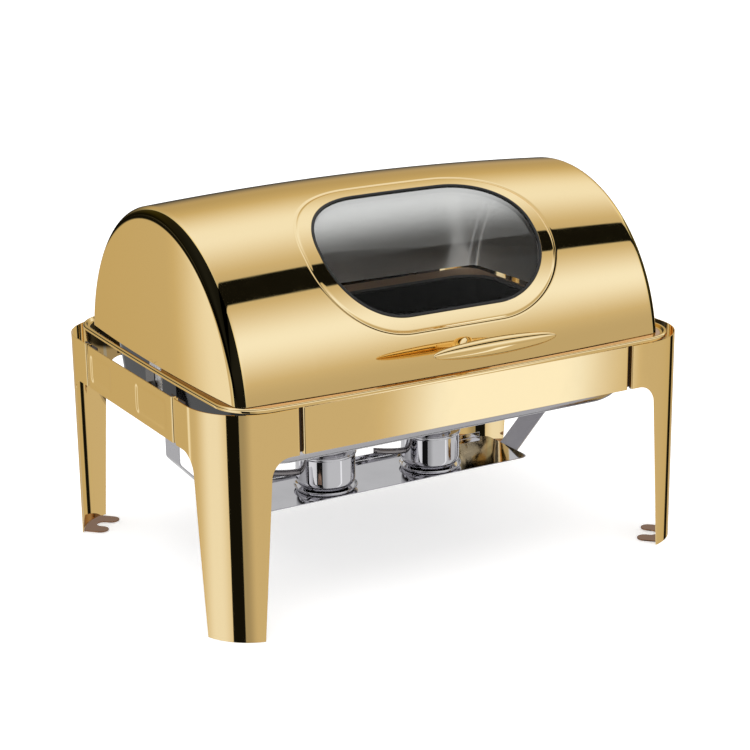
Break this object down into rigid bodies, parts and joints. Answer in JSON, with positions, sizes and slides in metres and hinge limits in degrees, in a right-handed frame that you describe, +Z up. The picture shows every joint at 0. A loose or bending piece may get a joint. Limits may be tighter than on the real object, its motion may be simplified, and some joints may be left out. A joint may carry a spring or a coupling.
{
  "type": "chafing dish food warmer",
  "caption": "Roll-top chafing dish in gold mirror finish: four-legged stand, water and food pans, windowed lid rolling back, burner tray hung below.",
  "frame": {"origin": "floor level, under the middle of the bounding box", "axes": "+X along the length to the right, -Y towards the front with the handle, +Z up"},
  "size_m": [0.64, 0.514, 0.4494],
  "materials": {
    "gold_mirror": "mirror-polished gold coating over stainless steel",
    "polished_steel": "mirror-polished stainless steel",
    "hinge_steel": "satin stainless steel",
    "dark_pan": "dark satin coating",
    "window_glass": "clear, slightly smoked, polished",
    "black_rubber": "matt black"
  },
  "bodies": {
    "stand": {"leg_front_left": "gold_mirror", "foot_front_left": "gold_mirror", "lap_plate_front_left": "gold_mirror", "lap_plate_left_front": "gold_mirror", "leg_rear_left": "gold_mirror", "foot_rear_left": "gold_mirror", "lap_plate_rear_left": "gold_mirror", "lap_plate_left_rear": "gold_mirror", "leg_front_right": "gold_mirror", "foot_front_right": "gold_mirror", "lap_plate_front_right": "gold_mirror", "lap_plate_right_front": "gold_mirror", "leg_rear_right": "gold_mirror", "foot_rear_right": "gold_mirror", "lap_plate_rear_right": "gold_mirror", "lap_plate_right_rear": "gold_mirror", "rail_left": "gold_mirror", "rail_right": "gold_mirror", "rail_front": "gold_mirror", "rail_rear": "gold_mirror", "pan_ring": "gold_mirror", "water_pan": "polished_steel", "hanger_left": "polished_steel", "hanger_right": "polished_steel", "burner_tray": "polished_steel", "burner_saucer_left": "polished_steel", "pivot_bracket_left": "hinge_steel", "pivot_pin_left": "hinge_steel", "pivot_spacer_left": "hinge_steel", "pivot_nut_left": "hinge_steel", "burner_saucer_right": "polished_steel", "pivot_bracket_right": "hinge_steel", "pivot_pin_right": "hinge_steel", "pivot_spacer_right": "hinge_steel", "pivot_nut_right": "hinge_steel"},
    "lid": {"lid_shell": "gold_mirror", "window_glass": "window_glass", "window_gasket": "black_rubber", "window_retainer": "polished_steel", "handle_bar": "gold_mirror", "handle_stem": "gold_mirror", "handle_screw": "polished_steel", "lid_ear_left": "hinge_steel", "lid_ear_right": "hinge_steel"},
    "food_pan": {"food_pan": "dark_pan"},
    "burner_left": {"burner_pot_left": "polished_steel", "fuel_cup_left": "polished_steel", "burner_collar_left": "polished_steel", "burner_handle_left": "polished_steel"},
    "burner_right": {"burner_pot_right": "polished_steel", "fuel_cup_right": "polished_steel", "burner_collar_right": "polished_steel", "burner_handle_right": "polished_steel"}
  },
  "joints": [
    {"name": "lid_roll", "type": "hinge", "parent": "stand", "child": "lid", "pos_m": [0, 0.025, 0.235], "axis": [-1, 0, 0], "range_deg": [0, 90]},
    {"name": "food_pan_lift", "type": "slide", "parent": "stand", "child": "food_pan", "axis": [0, 0, 1], "range_m": [0, 0.06]},
    {"name": "burner_left_lift", "type": "slide", "parent": "stand", "child": "burner_left", "axis": [0, 0, 1], "range_m": [0, 0.03]},
    {"name": "burner_right_lift", "type": "slide", "parent": "stand", "child": "burner_right", "axis": [0, 0, 1], "range_m": [0, 0.03]}
  ]
}
